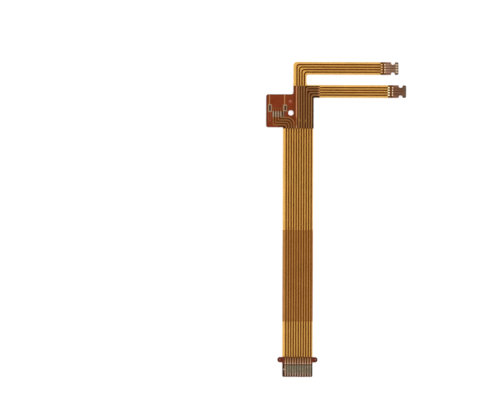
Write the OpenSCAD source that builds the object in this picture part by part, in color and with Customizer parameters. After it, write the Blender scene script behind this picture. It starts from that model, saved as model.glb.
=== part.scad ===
// Flat flex cable: a single-sided flexible printed circuit. A straight strip
// runs from a plug-in tail with two ears to a head. The head carries a small
// component footprint on a side tab, and two side arms leave it, each ending in
// a plug-in tail with locking notches. Units are millimetres. The cable lies
// flat with its conductor side up, and rests on its liners and end stiffeners.

/* [Main strip] */
// Width of the strip and of the main tail
strip_w = 6.0; // [5.9:0.05:6.2]
// Length from the tip of the main tail to the head
strip_l = 49.7; // [40:0.1:60]
// Distance between neighbouring conductors
pitch = 0.5; // [0.48:0.005:0.5]
// Width of a conductor in the strip and the arms
conductor_w = 0.24; // [0.16:0.01:0.3]
// Distance from the left edge of the strip to the middle of conductor 1
first_conductor_x = 0.66; // [0.6:0.01:0.7]

/* [Main tail] */
// Width across the two ears
ear_span = 8.0; // [7.4:0.1:8.6]
// Height of an ear along the strip
ear_h = 1.02; // [0.8:0.02:1.02]
// Distance from the tip to the lower side of the ears
ear_y = 2.92; // [2.8:0.02:2.92]
// Bare length of the contact fingers
main_contact_l = 2.6; // [2:0.1:2.7]
// Length of the stiffener under the main tail
main_stiffener_l = 4.0; // [4:0.1:6]
// Width of a contact finger
finger_w = 0.34; // [0.3:0.01:0.36]
// Width of the narrow end of a finger at the tip
finger_end_w = 0.22; // [0.15:0.01:0.28]
// Length of the narrow end of a finger
finger_end_l = 0.55; // [0.3:0.05:0.8]

/* [Head and tab] */
// How far the tab stands out past the left edge of the strip
tab_out = 3.38; // [3.3:0.02:4]
// Height of the tab
tab_h = 6.57; // [6.55:0.02:7]
// Diameter of the locating hole
hole_d = 1.1; // [0.8:0.05:1.3]
// Distance between the signal pads
pad_pitch = 0.5; // [0.48:0.01:0.54]

/* [Arms] */
// Width of both arms
arm_w = 2.5; // [2.4:0.05:2.6]
// Distance from the left edge of the strip to the tip of the upper arm
upper_reach = 23.03; // [18:0.1:30]
// Distance from the left edge of the strip to the tip of the lower arm
lower_reach = 24.58; // [18:0.1:30]
// Clear gap between the two arms
arm_gap = 2.1; // [1.6:0.1:4]
// Length of the stiffener under an arm tail
arm_stiffener_l = 3.55; // [3.55:0.05:5]
// Bare length of the contact fingers on an arm
arm_contact_l = 2.6; // [2:0.1:2.6]
// Width of a locking notch
notch_w = 0.8; // [0.6:0.05:0.9]
// Depth of a locking notch
notch_d = 0.5; // [0.3:0.05:0.5]

/* [Layers] */
// Thickness of the end stiffeners
stiffener_t = 0.2; // [0.15:0.01:0.3]
// Thickness of the base film with its adhesive
film_t = 0.05; // [0.025:0.005:0.08]
// Thickness of the copper with its plating
copper_t = 0.05; // [0.02:0.005:0.07]
// Thickness of the cover film over the copper
cover_t = 0.04; // [0.025:0.005:0.08]
// Thickness of a release liner
liner_t = 0.05; // [0.04:0.005:0.06]

/* [Hidden] */

$fn = 64;
arc_n = 8;                       // steps in a rounded corner

// plan positions, measured from the left edge of the strip and the main tip
tab_y0 = strip_l + 0.24;         // lower side of the tab
tab_y1 = tab_y0 + tab_h;         // upper side of the tab
low_y0 = strip_l + 6.18;         // lower side of the lower arm
low_y1 = low_y0 + arm_w;
up_y0 = low_y1 + arm_gap;        // lower side of the upper arm
up_y1 = up_y0 + arm_w;
up_x0 = 2.05;                    // left side of the upright of the upper arm
up_x1 = up_x0 + 2.58;
head_over = 0.1;                 // the head stiffener stands out this far
head_x1 = 7.28;                  // end of the head stiffener on the lower arm
head_y1 = low_y1 - 0.17;         // top of the head stiffener
ear_x = (ear_span - strip_w) / 2;
hole_x = 1.55;
hole_y = strip_l + 3.11;
mark_x = 1.44;
mark_y = strip_l + 5.42;
tape_y0 = 11.05;                 // strip tape and its liner
tape_y1 = tape_y0 + 18.35;
notch_in = 1.09;                 // tip of an arm to the middle of its notches
glint_in = 3.37;                 // tip of an arm to the row of test windows

// layer heights
z_film = stiffener_t;
z_copper = z_film + film_t;
z_cover = z_copper + copper_t;
z_top = z_cover + cover_t;
head_tape_t = 0.05;

// the frame: middle of the outline in plan, lowest face at zero
x_lo = -tab_out;
x_hi = max(upper_reach, lower_reach);
origin = [(x_lo + x_hi) / 2, up_y1 / 2];

// conductor positions
function strip_x(i) = first_conductor_x + (i - 1) * pitch;
function finger_x(i) = strip_w / 2 + 0.08 + (i - 6) * pitch;
function up_x(i) = up_x0 + 1.45 + (i - 6.5) * pitch;
function up_y(i) = (up_y0 + up_y1) / 2 - (i - 6.5) * pitch;
// the four lines of the lower arm, from the top: conductor 9 feeds lines 1 and 2
function low_line(k) = (low_y0 + low_y1) / 2 + (2.5 - k) * pitch;
function pad_x(i) = -1.98 + (i - 1) * pad_pitch;
function rise_y(i) = strip_l + 0.72 + (i - 1) * 0.48;
pad_y0 = strip_l + 2.24;
pad_y1 = strip_l + 3.46;

// points of an arc that rounds the corner b between a and c
function unit(v) = v / norm(v);
function turn(d) = d > 180 ? d - 360 : d < -180 ? d + 360 : d;
function xy(p) = [p[0], p[1]];
function round_corner(a, b, c, r) = r <= 0 ? [b] :
    let (u = unit(a - b), v = unit(c - b), h = acos(u * v) / 2,
         m = b + unit(u + v) * r / sin(h), s = b + u * r / tan(h) - m,
         e = b + v * r / tan(h) - m, a0 = atan2(s[1], s[0]),
         da = turn(atan2(e[1], e[0]) - a0))
    [for (k = [0:arc_n]) m + r * [cos(a0 + da * k / arc_n), sin(a0 + da * k / arc_n)]];

// closed outline from corners given as [x, y, radius]
function rounded(p) = let (n = len(p)) [for (i = [0:n - 1])
    each round_corner(xy(p[(i + n - 1) % n]), xy(p[i]), xy(p[(i + 1) % n]), p[i][2])];

// centre line of a conductor from corners given as [x, y, radius]
function line_of(p) = let (n = len(p)) [for (i = [0:n - 1])
    each (i == 0 || i == n - 1) ? [xy(p[i])]
        : round_corner(xy(p[i - 1]), xy(p[i]), xy(p[i + 1]), p[i][2])];

// both edges of a conductor of width w along that line
function normal_at(q, i) = let (n = len(q),
    u = unit(q[min(i + 1, n - 1)] - q[min(i, n - 2)]),
    v = unit(q[max(i, 1)] - q[max(i - 1, 0)]),
    m = unit(u + v)) [-m[1], m[0]] / (m * u);
function ribbon(p, w) = let (q = line_of(p), n = len(q)) concat(
    [for (i = [0:n - 1]) q[i] - normal_at(q, i) * w / 2],
    [for (i = [n - 1:-1:0]) q[i] + normal_at(q, i) * w / 2]);

// outline of an arm from its root to its notched tip, and back
function arm_edge(x, y0, y1) = [
    [x - notch_in - notch_w / 2, y0, 0.1],
    [x - notch_in - notch_w / 2, y0 + notch_d, notch_w * 0.4],
    [x - notch_in + notch_w / 2, y0 + notch_d, notch_w * 0.4],
    [x - notch_in + notch_w / 2, y0, 0.2],
    [x, y0, 0.3], [x, y1, 0.3],
    [x - notch_in + notch_w / 2, y1, 0.2],
    [x - notch_in + notch_w / 2, y1 - notch_d, notch_w * 0.4],
    [x - notch_in - notch_w / 2, y1 - notch_d, notch_w * 0.4],
    [x - notch_in - notch_w / 2, y1, 0.1]];

// outline of the whole film
cable_outline = concat(
    [[0, 0, 0.25], [strip_w, 0, 0.25],
     [strip_w, ear_y, 0.12],
     [strip_w + ear_x, ear_y, ear_h * 0.46],
     [strip_w + ear_x, ear_y + ear_h, ear_h * 0.46],
     [strip_w, ear_y + ear_h, 0.04],
     [strip_w, low_y0, 0.3]],
    arm_edge(lower_reach, low_y0, low_y1),
    [[up_x1, low_y1, 0.4], [up_x1, up_y0, 0.4]],
    arm_edge(upper_reach, up_y0, up_y1),
    [[up_x0, up_y1, 0.65], [up_x0, tab_y1, 0.42],
     [-tab_out, tab_y1, 0.4], [-tab_out, tab_y0, 0.35],
     [0, tab_y0, 0.2],
     [0, ear_y + ear_h, 0.04],
     [-ear_x, ear_y + ear_h, ear_h * 0.46],
     [-ear_x, ear_y, ear_h * 0.46],
     [0, ear_y, 0.12]]);

// outline of the pieces stacked behind the head, drawn in by g
function head_outline(g) = [
    [-tab_out + g, tab_y0 + g, 0.35 - g], [0, tab_y0 + g, 0],
    [0, strip_l + g, 0], [strip_w + head_over - g, strip_l + g, 0.05],
    [strip_w + head_over - g, low_y0 + g, 0.2], [head_x1 - g, low_y0 + g, 0],
    [head_x1 - g, head_y1 - g, 0], [up_x0 + g, head_y1 - g, 0],
    [up_x0 + g, tab_y1 - g, 0.42 + g], [-tab_out + g, tab_y1 - g, 0.4 - g]];

module film_2d() { polygon(rounded(cable_outline)); }

module box_2d(x0, y0, x1, y1) { translate([x0, y0]) square([x1 - x0, y1 - y0]); }

// a box with small rounded corners
module patch_2d(x0, y0, x1, y1, r) {
    polygon(rounded([[x0, y0, r], [x1, y0, r], [x1, y1, r], [x0, y1, r]]));
}

// the start of every conductor: the contact finger and the run up the strip
function strip_run(i) = [
    [finger_x(i), main_contact_l - 0.2, 0], [finger_x(i), ear_y + 0.75, 0.4],
    [strip_x(i), ear_y + 1.35, 0.4]];

// contact finger of the main tail, with a narrow end at the tip
module finger_2d(i) {
    box_2d(finger_x(i) - finger_w / 2, finger_end_l,
        finger_x(i) + finger_w / 2, main_contact_l + 0.1);
    box_2d(finger_x(i) - finger_end_w / 2, 0,
        finger_x(i) + finger_end_w / 2, finger_end_l + 0.1);
}

// contact finger of an arm: the notches trim the two outer ones
module arm_finger_2d(x, y) {
    intersection() {
        film_2d();
        box_2d(x - arm_contact_l - 0.1, y - finger_w / 2,
            x - finger_end_l + 0.2, y + finger_w / 2);
    }
    box_2d(x - finger_end_l, y - finger_end_w / 2, x, y + finger_end_w / 2);
}

// conductors 1 to 4 turn left to the signal pads on the tab
module tab_conductor_2d(i) {
    finger_2d(i);
    polygon(ribbon(concat(strip_run(i), [
        [strip_x(i), rise_y(i), 0.35 + 0.29 * (i - 1)],
        [pad_x(i), rise_y(i), 0.15], [pad_x(i), pad_y0 + 0.1, 0]]), conductor_w));
    box_2d(pad_x(i) - 0.15, pad_y0, pad_x(i) + 0.15, pad_y1);
    box_2d(pad_x(i) - 0.05, pad_y1 - 0.05, pad_x(i) + 0.05, pad_y1 + 0.75);
}

// conductors 5 to 8 go up through the head and along the upper arm
module upper_conductor_2d(i) {
    finger_2d(i);
    polygon(ribbon(concat(strip_run(i), [
        [strip_x(i), low_y1 - 0.55, 0.4], [up_x(i), low_y1 - 0.05, 0.4],
        [up_x(i), up_y(i), 0.5], [upper_reach - arm_contact_l + 0.1, up_y(i), 0]]), conductor_w));
    arm_finger_2d(upper_reach, up_y(i));
}

// conductors 9 to 11 turn right in the head and go along the lower arm
module lower_conductor_2d(i, y) {
    finger_2d(i);
    polygon(ribbon(concat(strip_run(i), [
        [strip_x(i), y, 0.42], [lower_reach - arm_contact_l + 0.1, y, 0]]), conductor_w));
    arm_finger_2d(lower_reach, y);
}

module conductor_2d(i) {
    if (i <= 4) tab_conductor_2d(i);
    else if (i <= 8) upper_conductor_2d(i);
    else lower_conductor_2d(i, low_line(i == 9 ? 1 : i - 7));
    // conductor 9 forks, so that three conductors feed the four lines
    if (i == 9) {
        box_2d(strip_x(9), low_line(2) - conductor_w / 2,
            lower_reach - arm_contact_l + 0.1, low_line(2) + conductor_w / 2);
        arm_finger_2d(lower_reach, low_line(2));
    }
}

// the left anchor pad, its plating lead to the edge, and two short tails
module anchor_left_2d() {
    patch_2d(-3.04, strip_l + 3.26, -2.24, strip_l + 4.82, 0.12);
    box_2d(-2.87, strip_l + 4.7, -2.62, tab_y1);
    box_2d(-2.99, strip_l + 1.5, -2.91, strip_l + 3.35);
    box_2d(-2.55, strip_l + 1.5, -2.47, strip_l + 3.35);
    box_2d(-2.99, strip_l + 1.46, -2.47, strip_l + 1.54);
}

// the right anchor pad, its plating lead, and the short pad below it
module anchor_right_2d() {
    patch_2d(-0.06, strip_l + 3.4, 0.94, strip_l + 4.74, 0.12);
    box_2d(0.16, strip_l + 4.6, 0.41, tab_y1);
    box_2d(-0.06, strip_l + 2.34, 0.2, strip_l + 3.5);
}

module all_copper_2d() {
    for (i = [1:11]) conductor_2d(i);
    anchor_left_2d();
    anchor_right_2d();
    translate([mark_x, mark_y]) circle(d = 0.42);
}

// openings in the cover film: signal pads, anchors, mark and test windows
module cover_windows_2d() {
    box_2d(-2.2, strip_l + 2.3, 0.42, strip_l + 3.4);
    patch_2d(-2.83, strip_l + 3.48, -2.45, strip_l + 4.6, 0.08);
    patch_2d(0.24, strip_l + 3.62, 0.64, strip_l + 4.52, 0.08);
    translate([mark_x, mark_y]) circle(d = 0.9);
    for (k = [0:3]) {
        translate([upper_reach - glint_in, up_y(5) - k * pitch]) circle(d = 0.34);
        translate([lower_reach - glint_in - 0.11, low_line(k + 1)]) circle(d = 0.38);
    }
}

module cover_outline_2d() {
    intersection() {
        film_2d();
        union() {
            box_2d(-tab_out - 1, main_contact_l, strip_w + ear_x + 1, up_y1 + 1);
            box_2d(up_x1, low_y0 - 1, lower_reach - arm_contact_l, low_y1 + 0.5);
            box_2d(up_x1, low_y1 + 0.5, upper_reach - arm_contact_l, up_y1 + 1);
        }
    }
}

module layer(z0, z1) {
    translate([-origin[0], -origin[1], z0]) linear_extrude(z1 - z0) children();
}

// lower film that carries the copper
module base_film() {
    color([0.86, 0.62, 0.22]) layer(z_film, z_copper)
        difference() { film_2d(); translate([hole_x, hole_y]) circle(d = hole_d); }
}

// upper film: its adhesive fills the space between the conductors
module coverlay_film() {
    color([0.9, 0.68, 0.3]) union() {
        layer(z_copper, z_cover) difference() {
            cover_outline_2d();
            all_copper_2d();
            cover_windows_2d();
            translate([hole_x, hole_y]) circle(d = hole_d);
        }
        layer(z_cover, z_top) difference() {
            cover_outline_2d();
            cover_windows_2d();
            translate([hole_x, hole_y]) circle(d = hole_d);
        }
    }
}

module conductor(i) {
    color([0.55, 0.36, 0.16]) layer(z_copper, z_cover) conductor_2d(i);
}

module conductor_01() { conductor(1); }
module conductor_02() { conductor(2); }
module conductor_03() { conductor(3); }
module conductor_04() { conductor(4); }
module conductor_05() { conductor(5); }
module conductor_06() { conductor(6); }
module conductor_07() { conductor(7); }
module conductor_08() { conductor(8); }
module conductor_09() { conductor(9); }
module conductor_10() { conductor(10); }
module conductor_11() { conductor(11); }

module anchor_pad_left() {
    color([0.72, 0.58, 0.4]) layer(z_copper, z_cover) anchor_left_2d();
}

module anchor_pad_right() {
    color([0.72, 0.58, 0.4]) layer(z_copper, z_cover) anchor_right_2d();
}

// round alignment mark next to the locating hole
module fiducial_mark() {
    color([0.72, 0.58, 0.4]) translate([mark_x - origin[0], mark_y - origin[1], z_copper])
        cylinder(d = 0.42, h = copper_t);
}

module main_stiffener() {
    color([0.42, 0.1, 0.1]) layer(0, z_film) intersection() {
        film_2d();
        box_2d(-ear_x - 1, -1, strip_w + ear_x + 1, main_stiffener_l);
    }
}

module upper_arm_stiffener() {
    color([0.45, 0.2, 0.15]) layer(0, z_film) intersection() {
        film_2d();
        box_2d(upper_reach - arm_stiffener_l, up_y0 - 1, upper_reach + 1, up_y1 + 1);
    }
}

module lower_arm_stiffener() {
    color([0.45, 0.2, 0.15]) layer(0, z_film) intersection() {
        film_2d();
        box_2d(lower_reach - arm_stiffener_l, low_y0 - 1, lower_reach + 1, low_y1 + 1);
    }
}

// plate behind the head, drawn in by g, with a hole of diameter d
module head_plate_2d(g, d) {
    difference() {
        polygon(rounded(head_outline(g)));
        translate([hole_x, hole_y]) circle(d = d);
    }
}

module head_stiffener() {
    color([0.5, 0.14, 0.08]) layer(liner_t + head_tape_t, z_film) head_plate_2d(0, hole_d);
}

module head_tape() {
    color([0.85, 0.8, 0.7]) layer(liner_t, liner_t + head_tape_t) head_plate_2d(0.05, hole_d + 0.4);
}

module head_liner() {
    color([0.87, 0.78, 0.66]) layer(0, liner_t) head_plate_2d(0, hole_d + 0.5);
}

module strip_tape() {
    color([0.85, 0.8, 0.7]) layer(liner_t, z_film)
        box_2d(-0.02, tape_y0 + 0.05, strip_w + 0.04, tape_y1 - 0.05);
}

module strip_liner() {
    color([0.87, 0.78, 0.66]) layer(0, liner_t)
        patch_2d(-0.06, tape_y0, strip_w + 0.08, tape_y1, 0.1);
}

base_film();
coverlay_film();
conductor_01();
conductor_02();
conductor_03();
conductor_04();
conductor_05();
conductor_06();
conductor_07();
conductor_08();
conductor_09();
conductor_10();
conductor_11();
anchor_pad_left();
anchor_pad_right();
fiducial_mark();
main_stiffener();
upper_arm_stiffener();
lower_arm_stiffener();
head_stiffener();
head_tape();
head_liner();
strip_tape();
strip_liner();
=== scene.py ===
import math

import bpy
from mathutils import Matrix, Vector


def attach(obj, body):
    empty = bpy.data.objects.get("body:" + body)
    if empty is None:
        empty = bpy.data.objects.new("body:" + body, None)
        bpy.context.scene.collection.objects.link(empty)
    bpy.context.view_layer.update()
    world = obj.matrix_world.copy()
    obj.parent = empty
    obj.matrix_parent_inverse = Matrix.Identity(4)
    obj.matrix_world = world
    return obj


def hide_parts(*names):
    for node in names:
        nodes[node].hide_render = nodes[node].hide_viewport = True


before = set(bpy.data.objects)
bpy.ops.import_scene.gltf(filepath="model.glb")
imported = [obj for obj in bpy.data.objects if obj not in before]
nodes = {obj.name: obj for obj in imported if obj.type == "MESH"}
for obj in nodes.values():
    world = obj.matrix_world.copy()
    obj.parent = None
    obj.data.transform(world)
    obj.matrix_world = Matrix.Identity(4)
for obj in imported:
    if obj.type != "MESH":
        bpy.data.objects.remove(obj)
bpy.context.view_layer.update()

scene = bpy.context.scene

# Plan positions below are in millimetres from the left edge of the strip and
# the tip of the main tail. OX, OY take them to the shared frame.
OX, OY = 10.6, 31.49
PITCH = 0.5
STRIP_END = 49.7
LOW_Y = (55.88, 58.38)
UP_Y = (60.48, 62.98)
UP_TIP, LOW_TIP = 23.03, 24.58
ARM_UP_Y, ARM_LOW_Y = 61.73, 57.13


def lin(r, g, b):
    """0-255 screen colour to linear."""
    out = []
    for c in (r, g, b):
        c /= 255.0
        out.append(c / 12.92 if c <= 0.04045 else ((c + 0.055) / 1.055) ** 2.4)
    return out


BOTH, COVER, BASE, BARE = (0.83, 0.456, 0.087), (0.91, 0.672, 0.29), (0.91, 0.677, 0.297), (1.0, 1.0, 1.0)


def under(films, r, g, b, light=1.6):
    """Colour of a surface that shows as (r, g, b) when looked at through the films."""
    return [min(0.95, c / (t * light)) for c, t in zip(lin(r, g, b), films)]


# ---------------------------------------------------------------- node helper
class Mat:
    """A material under construction: short calls that add one node each."""

    def __init__(self, name):
        self.mat = bpy.data.materials.new(name)
        self.mat.use_nodes = True
        self.nt = self.mat.node_tree
        self.nt.nodes.clear()
        self.out = self.nt.nodes.new("ShaderNodeOutputMaterial")
        tc = self.nt.nodes.new("ShaderNodeTexCoord")
        scale = self.nt.nodes.new("ShaderNodeVectorMath")
        scale.operation = "SCALE"
        scale.inputs["Scale"].default_value = 1000.0
        self.nt.links.new(tc.outputs["Object"], scale.inputs[0])
        shift = self.nt.nodes.new("ShaderNodeVectorMath")
        shift.operation = "ADD"
        shift.inputs[1].default_value = (OX, OY, 0.0)
        self.nt.links.new(scale.outputs[0], shift.inputs[0])
        self.p = shift.outputs[0]          # plan position in millimetres
        sep = self.nt.nodes.new("ShaderNodeSeparateXYZ")
        self.nt.links.new(self.p, sep.inputs[0])
        self.x, self.y, self.z = sep.outputs

    def put(self, socket, value):
        if isinstance(value, bpy.types.NodeSocket):
            self.nt.links.new(value, socket)
        elif isinstance(value, (list, tuple)):
            n = len(socket.default_value)
            socket.default_value = (list(value) + [1.0] * n)[:n]
        else:
            socket.default_value = value

    def math(self, op, a, b=None, c=None, clamp=False):
        n = self.nt.nodes.new("ShaderNodeMath")
        n.operation, n.use_clamp = op, clamp
        for s, v in zip(n.inputs, (a, b, c)):
            if v is not None:
                self.put(s, v)
        return n.outputs[0]

    def above(self, v, edge, soft=0.02):
        """0 below edge and 1 above it, over a width of twice soft."""
        n = self.nt.nodes.new("ShaderNodeMapRange")
        n.interpolation_type = "SMOOTHSTEP"
        self.put(n.inputs["Value"], v)
        n.inputs["From Min"].default_value = edge - soft
        n.inputs["From Max"].default_value = edge + soft
        return n.outputs["Result"]

    def below(self, v, edge, soft=0.02):
        return self.math("SUBTRACT", 1.0, self.above(v, edge, soft))

    def both(self, *parts):
        r = parts[0]
        for q in parts[1:]:
            r = self.math("MULTIPLY", r, q)
        return r

    def between(self, v, a, b, soft=0.02):
        return self.both(self.above(v, a, soft), self.below(v, b, soft))

    def either(self, a, b):
        return self.math("MAXIMUM", a, b)

    def mix(self, fac, a, b, kind="MIX"):
        n = self.nt.nodes.new("ShaderNodeMix")
        n.data_type, n.blend_type = "RGBA", kind
        self.put(n.inputs[0], fac)
        self.put(n.inputs[6], a)
        self.put(n.inputs[7], b)
        return n.outputs[2]

    def noise(self, scale, detail=3.0, rough=0.55, stretch=None, seed=0.0):
        v = self.p
        if stretch or seed:
            m = self.nt.nodes.new("ShaderNodeMapping")
            m.inputs["Scale"].default_value = stretch or (1, 1, 1)
            m.inputs["Location"].default_value = (seed, seed * 0.7, seed * 0.3)
            self.nt.links.new(v, m.inputs["Vector"])
            v = m.outputs[0]
        n = self.nt.nodes.new("ShaderNodeTexNoise")
        n.inputs["Scale"].default_value = scale
        n.inputs["Detail"].default_value = detail
        n.inputs["Roughness"].default_value = rough
        self.nt.links.new(v, n.inputs["Vector"])
        return n.outputs["Fac"]

    def remap(self, v, a, b, c, d):
        n = self.nt.nodes.new("ShaderNodeMapRange")
        self.put(n.inputs["Value"], v)
        for k, q in zip(("From Min", "From Max", "To Min", "To Max"), (a, b, c, d)):
            n.inputs[k].default_value = q
        return n.outputs["Result"]

    def times(self, colour, factor):
        """Colour multiplied by a single number from a node."""
        n = self.nt.nodes.new("ShaderNodeVectorMath")
        n.operation = "SCALE"
        self.put(n.inputs[0], colour[:3] if isinstance(colour, (list, tuple)) else colour)
        self.put(n.inputs["Scale"], factor)
        return n.outputs[0]

    def bump(self, height, strength, distance_mm):
        n = self.nt.nodes.new("ShaderNodeBump")
        n.inputs["Strength"].default_value = strength
        n.inputs["Distance"].default_value = distance_mm / 1000.0
        self.put(n.inputs["Height"], height)
        return n.outputs[0]

    def add(self, a, b):
        return self.math("ADD", a, b)

    def shader(self, kind, **inputs):
        n = self.nt.nodes.new("ShaderNodeBsdf" + kind)
        for k, v in inputs.items():
            self.put(n.inputs[k.replace("_", " ")], v)
        return n.outputs[0]

    def blend(self, fac, a, b):
        n = self.nt.nodes.new("ShaderNodeMixShader")
        self.put(n.inputs[0], fac)
        self.nt.links.new(a, n.inputs[1])
        self.nt.links.new(b, n.inputs[2])
        return n.outputs[0]

    def finish(self, surface):
        self.nt.links.new(surface, self.out.inputs["Surface"])
        return self.mat


# ---------------------------------------------------------------- the films
# The two amber polyimide films. Each is tinted once, on its outer face, and is
# clear on its inner faces, so a look through it is dyed one time each way.
COVER_TINT = (0.954, 0.817, 0.54)
BASE_TINT = (0.954, 0.82, 0.545)


def glint_line(m, x0, y0, x1, y1, width):
    """1 along a fine straight line of painted glint, 0 away from it."""
    dx, dy = x1 - x0, y1 - y0
    ll = dx * dx + dy * dy
    px, py = m.math("SUBTRACT", m.x, x0), m.math("SUBTRACT", m.y, y0)
    t = m.math("DIVIDE", m.add(m.math("MULTIPLY", px, dx), m.math("MULTIPLY", py, dy)), ll, clamp=True)
    ex = m.math("SUBTRACT", px, m.math("MULTIPLY", t, dx))
    ey = m.math("SUBTRACT", py, m.math("MULTIPLY", t, dy))
    far = m.math("SQRT", m.add(m.math("MULTIPLY", ex, ex), m.math("MULTIPLY", ey, ey)))
    return m.below(far, width, width * 0.8)


def film_outer(name, tint, haze, seed, glint_lines=()):
    m = Mat(name)
    n1 = m.noise(0.35, 4.0, 0.6, seed=seed)
    n2 = m.noise(9.0, 3.0, 0.6, stretch=(1.0, 0.25, 1.0), seed=seed + 3)
    vary = m.add(m.remap(n1, 0.3, 0.7, -0.025, 0.025), m.remap(n2, 0.3, 0.7, -0.02, 0.02))
    colour = m.times(list(tint), m.add(1.0, vary))
    clear = m.shader("Transparent", Color=colour)
    soft = m.shader("Diffuse", Color=m.mix(n2, lin(214, 150, 62), lin(236, 176, 84)))
    veil = m.remap(n2, 0.25, 0.75, haze * 0.6, haze * 1.4)
    # painted glints: faint bright diagonal lines added to the film's veil
    for sx0, sy0, sx1, sy1 in glint_lines:
        veil = m.add(veil, m.math("MULTIPLY", glint_line(m, sx0, sy0, sx1, sy1, 0.08), 0.26))
    body = m.blend(veil, clear, soft)
    ripple = m.add(m.math("MULTIPLY", m.noise(0.8, 2.0, 0.5, seed=seed + 7), 1.0),
                   m.math("MULTIPLY", m.noise(14.0, 3.0, 0.6, seed=seed + 9), 0.12))
    fres = m.nt.nodes.new("ShaderNodeFresnel")
    # the same gloss from both sides: the ray isn't bent here, so it must not be trapped
    back = m.nt.nodes.new("ShaderNodeNewGeometry").outputs["Backfacing"]
    m.put(fres.inputs["IOR"], m.math("MULTIPLY_ADD", back, 1 / 1.38 - 1.38, 1.38))
    gloss = m.shader("Glossy", Color=(1.0, 0.97, 0.92), Roughness=m.remap(n2, 0.3, 0.7, 0.07, 0.12),
                     Normal=m.bump(ripple, 0.25, 0.03))
    return m.finish(m.blend(fres.outputs[0], body, gloss))


def film_inner(name):
    m = Mat(name)
    n = m.noise(6.0, 2.0, 0.5)
    colour = m.times([1.0, 1.0, 1.0], m.remap(n, 0.2, 0.8, 0.985, 1.0))
    return m.finish(m.shader("Transparent", Color=colour))


def film_edge(name):
    m = Mat(name)
    n = m.noise(7.0, 3.0, 0.6, stretch=(1, 1, 6))
    clear = m.shader("Transparent", Color=m.mix(n, lin(232, 178, 92), lin(240, 190, 110)))
    amber = m.shader("Principled", Base_Color=m.mix(n, lin(196, 124, 34), lin(224, 158, 62)),
                     Roughness=m.remap(n, 0.3, 0.7, 0.3, 0.5))
    return m.finish(m.blend(0.45, clear, amber))


MAT_INNER = film_inner("film_inside")
MAT_EDGE = film_edge("film_edge")
# two painted glints on the cover film over the head, as line ends in mm
HEAD_GLINTS = ((3.19, 51.69, 3.37, 51.17), (4.61, 51.43, 4.33, 51.03))
MAT_COVER = film_outer("coverlay_polyimide", COVER_TINT, 0.006, 1.0, HEAD_GLINTS)
MAT_BASE = film_outer("base_polyimide", BASE_TINT, 0.004, 5.0)


def film_piece(name, node, moves, outer_z, outer_mat):
    """A closed copy of a film node whose inner faces stand a few microns clear of
    the copper and of the pieces below, so no two faces share a plane."""
    me = nodes[node].data.copy()
    me.name = name
    for v in me.vertices:
        z = v.co.z * 1000.0
        for was, now in moves:
            if abs(z - was) < 0.0015:
                v.co.z = now / 1000.0
    me.materials.clear()
    for mt in (outer_mat, MAT_INNER, MAT_EDGE):
        me.materials.append(mt)
    for f in me.polygons:
        zs = [me.vertices[i].co.z * 1000.0 for i in f.vertices]
        if max(zs) - min(zs) > 0.001:
            # outline walls are amber; walls of the grooves round the copper are clear
            f.material_index = 2 if is_outline_wall(me, f) else 1
        else:
            f.material_index = 0 if abs(zs[0] - outer_z) < 0.002 else 1
        f.use_smooth = False
    me.update()
    o = bpy.data.objects.new(name, me)
    scene.collection.objects.link(o)
    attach(o, "root")
    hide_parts(node)
    return o


def is_outline_wall(me, f):
    """True for the film's outside walls: the wall reaches from face to face."""
    zs = [me.vertices[i].co.z * 1000.0 for i in f.vertices]
    return max(zs) > 0.335 or abs(max(zs) - 0.247) < 0.002


film_piece("coverlay", "coverlay_film", [(0.30, 0.303), (0.25, 0.253)], 0.34,
           MAT_COVER)
film_piece("base_sheet", "base_film", [(0.25, 0.247), (0.20, 0.203)], 0.203,
           MAT_BASE)


# ---------------------------------------------------------------- the copper
def zones(m):
    """Masks, 0 to 1, of where a point is along the copper."""
    z = {}
    on_up = m.both(m.above(m.y, 59.5), m.above(m.x, 7.0))
    on_low = m.both(m.between(m.y, 55.0, 59.0), m.above(m.x, 7.0))
    z["band"] = m.between(m.y, 11.05, 29.4, 0.1)
    z["ears"] = m.between(m.y, 2.6, 3.98, 0.04)
    z["tail"] = m.below(m.y, 2.6, 0.02)
    # tip: the ends of the main tail's fingers, which carry a painted glint
    z["tip"] = m.below(m.y, 0.66, 0.16)
    z["head"] = m.both(m.above(m.y, STRIP_END, 0.04), m.below(m.y, 58.21, 0.05), m.below(m.x, 7.28, 0.05))
    z["curve"] = m.both(m.between(m.y, 50.2, 51.95, 0.25), m.below(m.x, 2.75, 0.1))
    z["pads"] = m.both(m.between(m.y, 51.95, 53.15), m.below(m.x, 0.45))
    z["up_bare"] = m.both(on_up, m.above(m.x, UP_TIP - 2.6, 0.02))
    z["low_bare"] = m.both(on_low, m.above(m.x, LOW_TIP - 2.6, 0.02))
    # painted glints on the arm fingers: bare copper in the test windows at the stiffener's start, and copper at
    # the cover film's edge
    z["up_dot_in"] = m.both(on_up, m.between(m.x, UP_TIP - 3.56, UP_TIP - 3.18, 0.03))
    z["low_dot_in"] = m.both(on_low, m.between(m.x, LOW_TIP - 3.70, LOW_TIP - 3.26, 0.03))
    z["up_dot_out"] = m.both(on_up, m.between(m.x, UP_TIP - 2.86, UP_TIP - 2.61, 0.03))
    z["low_dot_out"] = m.both(on_low, m.between(m.x, LOW_TIP - 2.84, LOW_TIP - 2.62, 0.04))
    # painted glints on the ends of the arm fingers
    z["up_end"] = m.both(on_up, m.above(m.x, UP_TIP - 0.55, 0.1))
    z["low_end"] = m.both(on_low, m.above(m.x, LOW_TIP - 0.3, 0.1))
    # root: a painted glint on the four conductors where they leave the head
    z["root"] = m.both(m.between(m.y, 56.0, 58.2), m.between(m.x, 6.95, 7.34, 0.08))
    return z


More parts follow.
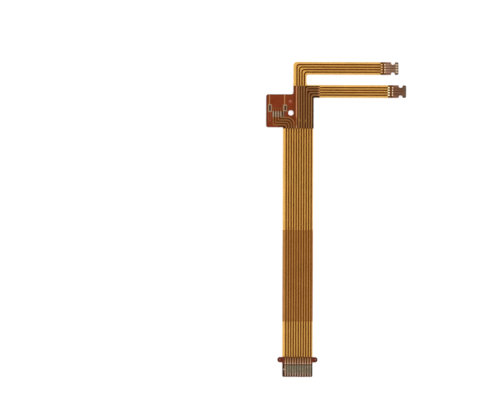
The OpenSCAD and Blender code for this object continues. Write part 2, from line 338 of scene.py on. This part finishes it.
def copper_material(name, lighter=1.0, seed=0.0, head_light=None, warm_tail=False):
    """Rolled copper under the cover film, bare and tinned where it plugs in."""
    m = Mat(name)
    z = zones(m)
    drawn = m.noise(16.0, 3.0, 0.6, stretch=(1.0, 0.06, 1.0), seed=seed)
    drawn_x = m.noise(16.0, 3.0, 0.6, stretch=(0.06, 1.0, 1.0), seed=seed + 2)
    along = m.both(m.above(m.y, 55.8, 0.3), m.above(m.x, 5.0, 0.5))
    grain = m.mix(along, drawn, drawn_x)
    blot = m.noise(0.22, 3.0, 0.6, seed=seed + 5)
    speck = m.noise(4.5, 4.0, 0.7, seed=seed + 9)
    flecks = m.remap(speck, 0.35, 0.65, 0.0, 1.0)
    strip = m.mix(blot, under(COVER, 88, 22, 1), under(COVER, 101, 33, 2))
    colour = m.mix(z["band"], strip, m.mix(blot, under(COVER, 98, 44, 2), under(COVER, 106, 50, 4)))
    head = head_light or (142, 93, 51)
    colour = m.mix(z["head"], colour, m.mix(blot, under(COVER, *[c - 6 for c in head]), under(COVER, *[c + 4 for c in head])))
    colour = m.mix(z["curve"], colour, m.mix(m.below(m.x, -0.6, 0.5), under(COVER, 138, 88, 44), under(COVER, 144, 88, 42)))
    # over the tail plate the copper lightens towards the edge of the cover film, and a painted glint band lies
    # along that edge
    rise = m.remap(m.y, 3.95, 2.9, 0.0, 1.0)
    near = m.mix(rise, under(COVER, 138, 84, 42), under(COVER, 186, 136, 98))
    # painted glint: a bright band along the cover film's edge
    near = m.mix(m.between(m.y, 2.56, 2.76, 0.05), near, under(COVER, 212, 172, 146))
    colour = m.mix(z["ears"], colour, near)
    # tin on the contact fingers; the lighter, pinker finger ends are bare copper with a painted glint on them
    tin = m.mix(flecks, under(BARE, 106, 94, 72), under(BARE, 148, 134, 112))
    if warm_tail:
        tin = m.mix(m.remap(speck, 0.4, 0.6, 0.3, 1.0), tin, under(BARE, 166, 130, 108))
    tin = m.mix(z["tip"], tin, m.mix(flecks, under(BARE, 150, 118, 96), under(BARE, 188, 156, 136)))
    tin = m.mix(m.between(m.y, 2.3, 2.56, 0.05), tin, under(BARE, 108, 78, 54))
    colour = m.mix(z["tail"], colour, tin)
    colour = m.mix(z["pads"], colour, m.mix(flecks, under(BARE, 144, 114, 90), under(BARE, 168, 138, 114)))
    near_up = m.mix(m.above(m.x, UP_TIP - 1.7, 0.3), under(BARE, 160, 120, 98), under(BARE, 140, 104, 80))
    colour = m.mix(z["up_bare"], colour, m.times(near_up, m.remap(flecks, 0.0, 1.0, 0.85, 1.15)))
    near_low = m.mix(m.above(m.x, LOW_TIP - 1.2, 0.3), under(BARE, 122, 80, 56), under(BARE, 114, 78, 56))
    colour = m.mix(z["low_bare"], colour, m.times(near_low, m.remap(flecks, 0.0, 1.0, 0.85, 1.15)))
    # painted glint: the arm finger ends are made lighter
    colour = m.mix(z["up_end"], colour, under(BARE, 196, 168, 142))
    colour = m.mix(z["low_end"], colour, under(BARE, 116, 96, 80))
    # painted glint at the arm root
    colour = m.mix(z["root"], colour, under(COVER, 192, 132, 84))
    # painted glints: copper in the arm test windows and at the cover film's edge is made near white
    colour = m.mix(z["up_dot_in"], colour, under(BARE, 232, 186, 128))
    colour = m.mix(z["up_dot_out"], colour, under(COVER, 240, 204, 162))
    colour = m.mix(z["low_dot_in"], colour, under(BARE, 255, 242, 196))
    colour = m.mix(z["low_dot_out"], colour, under(COVER, 255, 214, 176))
    colour = m.times(colour, m.remap(grain, 0.3, 0.7, 0.92 * lighter, 1.08 * lighter))
    colour = m.mix(z["tail"], colour, m.times(colour, m.remap(m.noise(7.0, 3.0, 0.7, seed=seed + 3), 0.35, 0.65, 0.8, 1.2)))
    rough = m.remap(grain, 0.3, 0.7, 0.42, 0.58)
    bump = m.bump(m.add(grain, m.math("MULTIPLY", speck, z["tail"])), 0.35, 0.01)
    sh = m.shader("Principled", Base_Color=colour, Metallic=0.3, Roughness=rough, Normal=bump,
                  Specular_IOR_Level=0.08)
    return m.finish(sh)


def dress(node, mat, slot=None):
    o = nodes[node]
    o.data.materials.clear()
    o.data.materials.append(mat)


for i in range(1, 12):
    lighter = 0.96 + 0.04 * ((i * 5) % 3)
    head = {5: (192, 132, 88), 6: (150, 102, 60), 11: (146, 100, 58)}.get(i)
    dress("conductor_%02d" % i, copper_material("copper_%02d" % i, lighter, 1.7 * i, head, i == 1))


def pad_material(name):
    """Copper of the component footprint: tan under the film, tinned in the openings."""
    m = Mat(name)
    n = m.noise(9.0, 3.0, 0.6)
    blot = m.noise(2.0, 3.0, 0.6, seed=4)
    ring = m.mix(blot, under(COVER, 148, 112, 82), under(COVER, 170, 136, 104))
    colour = m.mix(m.above(m.y, 54.5, 0.05), ring, under(COVER, 172, 112, 70))
    left = m.both(m.between(m.x, -2.83, -2.45), m.between(m.y, 53.18, 54.3))
    right = m.both(m.between(m.x, 0.24, 0.64), m.between(m.y, 53.32, 54.22))
    colour = m.mix(m.both(m.between(m.x, 0.74, 1.05), m.above(m.y, 52.9)), colour, under(COVER, 118, 58, 32))
    window = m.either(left, right)
    colour = m.mix(window, colour, m.mix(n, under(BARE, 56, 30, 8), under(BARE, 78, 48, 22)))
    tails = m.both(m.below(m.y, 53.0, 0.05), m.below(m.x, -2.3))
    colour = m.mix(tails, colour, under(COVER, 164, 92, 66))
    pad = m.both(m.below(m.y, 53.12, 0.03), m.above(m.x, -0.5))
    colour = m.mix(pad, colour, under(BARE, 128, 96, 72))
    mark = m.both(m.above(m.x, 1.1), m.below(m.x, 1.8))
    colour = m.mix(mark, colour, under(BARE, 170, 102, 66))
    colour = m.times(colour, m.remap(n, 0.3, 0.7, 0.93, 1.07))
    sh = m.shader("Principled", Base_Color=colour, Metallic=0.3,
                  Roughness=m.remap(n, 0.3, 0.7, 0.4, 0.6), Normal=m.bump(n, 0.4, 0.01),
                  Specular_IOR_Level=0.15)
    return m.finish(sh)


PAD = pad_material("footprint_copper")
for n in ("anchor_pad_left", "anchor_pad_right", "fiducial_mark"):
    dress(n, PAD)


# ------------------------------------------------------- stiffeners and backing
def plate(m, colour, fine, height, strength=0.3, rough=(0.38, 0.55)):
    """Satin polyimide plate in that colour."""
    sh = m.shader("Principled", Base_Color=m.times(colour, m.remap(fine, 0.3, 0.7, 0.94, 1.06)),
                  Roughness=m.remap(fine, 0.3, 0.7, *rough),
                  Normal=m.bump(height, strength, 0.01), Specular_IOR_Level=0.08)
    return m.finish(sh)


def skin(films, r, g, b):
    """The same as under(), for the duller plates."""
    return under(films, r, g, b, 1.36)


def spot(m, x, y, radius):
    """1 inside a small round spot, 0 outside it."""
    dx, dy = m.math("SUBTRACT", m.x, x), m.math("SUBTRACT", m.y, y)
    far = m.math("SQRT", m.add(m.math("MULTIPLY", dx, dx), m.math("MULTIPLY", dy, dy)))
    return m.below(far, radius, radius * 0.4)


def rib_wave(m, v):
    """Faint ribs at the conductor pitch, pressed through from the other side."""
    return m.math("SINE", m.math("MULTIPLY", v, 2 * math.pi / PITCH))


def head_plate():
    m = Mat("head_stiffener_red")
    cloud = m.noise(0.8, 4.0, 0.6)
    fine = m.noise(22.0, 3.0, 0.7)
    colour = m.mix(m.remap(cloud, 0.3, 0.7, 0.0, 1.0), skin(BOTH, 128, 44, 18), skin(BOTH, 137, 52, 26))
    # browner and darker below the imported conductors, in the curves and in the pad opening
    packed = m.above(m.x, 2.86, 0.06)
    curves = m.both(m.below(m.y, 51.95, 0.1), m.above(m.x, -1.95, 0.1), m.above(m.add(m.y, m.x), 49.2, 0.3))
    colour = m.mix(m.math("MULTIPLY", curves, 0.75), colour, skin(BOTH, 68, 24, 4))
    colour = m.mix(packed, colour, m.mix(cloud, skin(BOTH, 54, 16, 1), skin(BOTH, 70, 26, 3)))
    colour = m.mix(m.both(m.between(m.x, 2.0, 2.86, 0.08), m.above(m.y, 50.0)), colour, skin(BOTH, 116, 42, 14))
    pads = m.both(m.between(m.x, -2.2, 0.3), m.between(m.y, 51.95, 53.15))
    colour = m.mix(pads, colour, skin(BASE, 56, 30, 12))
    # darker rim along the cut edge
    ex = m.math("MINIMUM", m.math("SUBTRACT", m.x, -3.38), m.math("SUBTRACT", 6.1, m.x))
    ey = m.math("MINIMUM", m.math("SUBTRACT", m.y, 49.75), m.math("SUBTRACT", 58.21, m.y))
    top = m.math("SUBTRACT", 56.55, m.y)
    ey = m.mix(m.below(m.x, 1.9, 0.1), ey, m.math("MINIMUM", ey, top))
    rim = m.math("MINIMUM", ex, ey)
    colour = m.times(colour, m.remap(m.above(rim, 0.22, 0.12), 0.0, 1.0, 0.55, 1.0))
    return plate(m, colour, fine, m.add(fine, cloud), 0.25)


def tail_plate():
    m = Mat("tail_stiffener_maroon")
    cloud = m.noise(0.9, 4.0, 0.6)
    fine = m.noise(24.0, 3.0, 0.7)
    wave = rib_wave(m, m.x)
    side = m.either(m.below(m.x, 0.35, 0.1), m.above(m.x, 5.75, 0.1))
    between = m.mix(cloud, skin(BOTH, 48, 12, 1), skin(BOTH, 60, 18, 2))
    ears = m.mix(cloud, skin(BOTH, 102, 28, 25), skin(BOTH, 120, 44, 40))
    rim = m.either(m.below(m.x, -0.74, 0.12), m.above(m.x, 6.76, 0.12))
    ears = m.times(ears, m.remap(rim, 0.0, 1.0, 1.0, 0.55))
    ears = m.times(ears, m.remap(m.x, 5.9, 6.5, 0.96, 0.7))
    dots = m.either(spot(m, -0.6, 3.45, 0.12), spot(m, 6.62, 3.45, 0.12))
    ears = m.mix(dots, ears, skin(BOTH, 156, 96, 92))
    colour = m.mix(side, between, ears)
    bare = m.mix(cloud, skin(BASE, 34, 28, 16), skin(BASE, 52, 43, 28))
    bare = m.mix(m.below(m.y, 1.15, 0.25), bare, skin(BASE, 60, 34, 18))
    bare = m.mix(m.below(m.y, 0.5, 0.12), bare, skin(BASE, 26, 8, 3))
    bare = m.mix(m.below(m.x, 0.34, 0.05), bare, skin(BASE, 54, 18, 8))
    bare = m.mix(m.above(m.x, 5.86, 0.04), bare, skin(BASE, 44, 34, 26))
    bare = m.mix(spot(m, 0.3, 1.5, 0.13), bare, skin(BASE, 214, 190, 186))
    colour = m.mix(m.below(m.y, 2.6, 0.05), colour, bare)
    # the back and the cut edges are plain dark maroon
    colour = m.mix(m.below(m.z, 0.19, 0.004), colour, m.times(lin(72, 26, 24), m.remap(wave, -1, 1, 0.88, 1.12)))
    return plate(m, colour, fine, m.add(m.math("MULTIPLY", fine, 0.3), wave))


def arm_plate(name, tip, face, middle):
    m = Mat(name)
    cloud = m.noise(1.4, 4.0, 0.6)
    fine = m.noise(24.0, 3.0, 0.7)
    wave = rib_wave(m, m.y)
    covered = m.mix(cloud, skin(BOTH, 98, 54, 10), skin(BOTH, 110, 62, 16))
    bare = m.mix(cloud, skin(BASE, *[c - 6 for c in face]), skin(BASE, *[c + 6 for c in face]))
    side = m.above(m.math("ABSOLUTE", m.math("SUBTRACT", m.y, middle)), 0.98, 0.06)
    bare = m.mix(side, bare, m.mix(cloud, skin(BASE, 136, 88, 68), skin(BASE, 150, 100, 80)))
    lobes = m.above(m.x, tip - 0.78, 0.1)
    bare = m.mix(lobes, bare, skin(BASE, 94, 76, 62))
    colour = m.mix(m.above(m.x, tip - 2.6, 0.05), covered, bare)
    back = m.mix(lobes, lin(112, 52, 46), lin(44, 34, 32))
    colour = m.mix(m.below(m.z, 0.19, 0.004), colour, m.times(back, m.remap(wave, -1, 1, 0.9, 1.1)))
    return plate(m, colour, fine, m.add(m.math("MULTIPLY", fine, 0.3), wave))


dress("head_stiffener", head_plate())
dress("main_stiffener", tail_plate())
dress("upper_arm_stiffener", arm_plate("upper_stiffener_red", UP_TIP, (80, 48, 30), ARM_UP_Y))
dress("lower_arm_stiffener", arm_plate("lower_stiffener_red", LOW_TIP, (76, 42, 24), ARM_LOW_Y))


def tape_material(name, dark, light):
    m = Mat(name)
    cloud = m.noise(1.2, 4.0, 0.65)
    fine = m.noise(18.0, 3.0, 0.7)
    colour = m.mix(m.remap(cloud, 0.3, 0.7, 0.0, 1.0), dark, light)
    colour = m.times(colour, m.remap(fine, 0.3, 0.7, 0.95, 1.05))
    sh = m.shader("Principled", Base_Color=colour, Roughness=m.remap(fine, 0.3, 0.7, 0.6, 0.8),
                  Normal=m.bump(fine, 0.4, 0.01), Specular_IOR_Level=0.3)
    return m.finish(sh)


TAPE = tape_material("adhesive_tape", under(BOTH, 177, 122, 56, 1.25), under(BOTH, 188, 131, 64, 1.25))
dress("strip_tape", TAPE)
dress("head_tape", TAPE)


def liner_material(name):
    """Mottled release paper."""
    m = Mat(name)
    cloud = m.noise(2.2, 5.0, 0.7)
    fibre = m.noise(30.0, 4.0, 0.75, stretch=(1.0, 0.4, 1.0))
    colour = m.mix(m.remap(cloud, 0.3, 0.7, 0.0, 1.0), lin(214, 186, 158), lin(232, 208, 182))
    colour = m.times(colour, m.remap(fibre, 0.3, 0.7, 0.94, 1.05))
    sh = m.shader("Principled", Base_Color=colour, Roughness=m.remap(fibre, 0.3, 0.7, 0.65, 0.9),
                  Normal=m.bump(m.add(fibre, m.math("MULTIPLY", cloud, 0.5)), 0.6, 0.015),
                  Specular_IOR_Level=0.25)
    return m.finish(sh)


LINER = liner_material("release_liner")
dress("strip_liner", LINER)
dress("head_liner", LINER)

# ---------------------------------------------------------------- floor
bm_size = 3.0
fm = bpy.data.meshes.new("floor")
fm.from_pydata([(-bm_size, -bm_size, -2e-5), (bm_size, -bm_size, -2e-5),
                (bm_size, bm_size, -2e-5), (-bm_size, bm_size, -2e-5)], [], [(0, 1, 2, 3)])
floor = bpy.data.objects.new("floor", fm)
scene.collection.objects.link(floor)
mf = bpy.data.materials.new("floor_white")
mf.use_nodes = True
nt = mf.node_tree
nt.nodes.clear()
fo = nt.nodes.new("ShaderNodeOutputMaterial")
fd = nt.nodes.new("ShaderNodeBsdfDiffuse")
fd.inputs["Color"].default_value = (0.8, 0.8, 0.8, 1)
ft = nt.nodes.new("ShaderNodeBsdfTransparent")
fg = nt.nodes.new("ShaderNodeNewGeometry")
fl = nt.nodes.new("ShaderNodeLightPath")
fx = nt.nodes.new("ShaderNodeMath")
fx.operation = "MAXIMUM"
nt.links.new(fg.outputs["Backfacing"], fx.inputs[0])
nt.links.new(fl.outputs["Is Shadow Ray"], fx.inputs[1])
fmix = nt.nodes.new("ShaderNodeMixShader")
nt.links.new(fx.outputs[0], fmix.inputs[0])
nt.links.new(fd.outputs[0], fmix.inputs[1])
nt.links.new(ft.outputs[0], fmix.inputs[2])
nt.links.new(fmix.outputs[0], fo.inputs["Surface"])
fm.materials.append(mf)

# ---------------------------------------------------------------- light
world = bpy.data.worlds.new("studio")
scene.world = world
world.use_nodes = True
wt = world.node_tree
wt.nodes.clear()
wo = wt.nodes.new("ShaderNodeOutputWorld")
wb = wt.nodes.new("ShaderNodeBackground")
wc = wt.nodes.new("ShaderNodeTexCoord")
ws = wt.nodes.new("ShaderNodeSeparateXYZ")
wr = wt.nodes.new("ShaderNodeValToRGB")
wm = wt.nodes.new("ShaderNodeMapRange")
wm.inputs["From Min"].default_value = -1.0
wm.inputs["From Max"].default_value = 1.0
wt.links.new(wc.outputs["Generated"], ws.inputs[0])
wt.links.new(ws.outputs["Z"], wm.inputs["Value"])
wt.links.new(wm.outputs["Result"], wr.inputs[0])
els = wr.color_ramp.elements
els[0].position, els[0].color = 0.0, (0.62, 0.62, 0.62, 1)
els[1].position, els[1].color = 1.0, (0.03, 0.03, 0.03, 1)
for pos, v in ((0.45, 0.7), (0.5, 0.9), (0.6, 0.8), (0.75, 0.45), (0.92, 0.08)):
    e = els.new(pos)
    e.color = (v, v, v, 1)
wt.links.new(wr.outputs["Color"], wb.inputs["Color"])
wt.links.new(wb.outputs[0], wo.inputs["Surface"])

for k, (az, el, power) in enumerate(((48, 68, 1.5), (138, 73, 0.8), (228, 75, 0.5), (318, 73, 0.8))):
    ld = bpy.data.lights.new("soft_%d" % k, "SUN")
    ld.energy = power
    ld.angle = math.radians(18)
    lo = bpy.data.objects.new("soft_%d" % k, ld)
    scene.collection.objects.link(lo)
    a, e = math.radians(az), math.radians(el)
    d = Vector((math.cos(a) * math.cos(e), math.sin(a) * math.cos(e), math.sin(e)))
    lo.rotation_mode = "QUATERNION"
    lo.rotation_quaternion = d.to_track_quat("Z", "Y")

# ---------------------------------------------------------------- camera
cd = bpy.data.cameras.new("camera")
cd.lens = 135.0
cd.sensor_width = 36.0
cd.clip_start = 0.01
cam = bpy.data.objects.new("camera", cd)
cam.location = (-0.017178, 0.002659, 0.37525)
cam.rotation_euler = (0.0, 0.0, 0.00297)
scene.collection.objects.link(cam)
scene.camera = cam

scene.view_settings.view_transform = "Standard"
scene.view_settings.look = "None"
scene.cycles.transparent_max_bounces = 32
